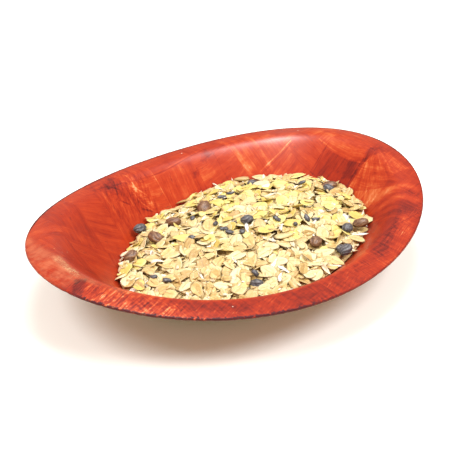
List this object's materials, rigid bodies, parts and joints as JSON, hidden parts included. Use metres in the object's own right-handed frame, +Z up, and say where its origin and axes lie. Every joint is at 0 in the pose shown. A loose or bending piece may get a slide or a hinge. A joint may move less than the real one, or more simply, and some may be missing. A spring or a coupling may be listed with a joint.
{
  "type": "bowl of muesli",
  "caption": "Shallow oval wooden bowl with a flared, saddle-shaped rim, holding a low heap of muesli flakes, seeds and raisins, for serving breakfast.",
  "frame": {"origin": "on the surface that the bowl stands on, under the middle of the rim", "axes": "+X along the bowl's long way, towards the end where the heap is highest; +Y across it; +Z up"},
  "size_m": [0.23, 0.1752, 0.0417],
  "materials": {
    "red_lacquered_wood": "gloss lacquer over red-stained strips of wood",
    "muesli_mix": "dry, matt, uneven flakes"
  },
  "bodies": {
    "root": {"bowl": "red_lacquered_wood", "muesli": "muesli_mix"}
  },
  "joints": []
}
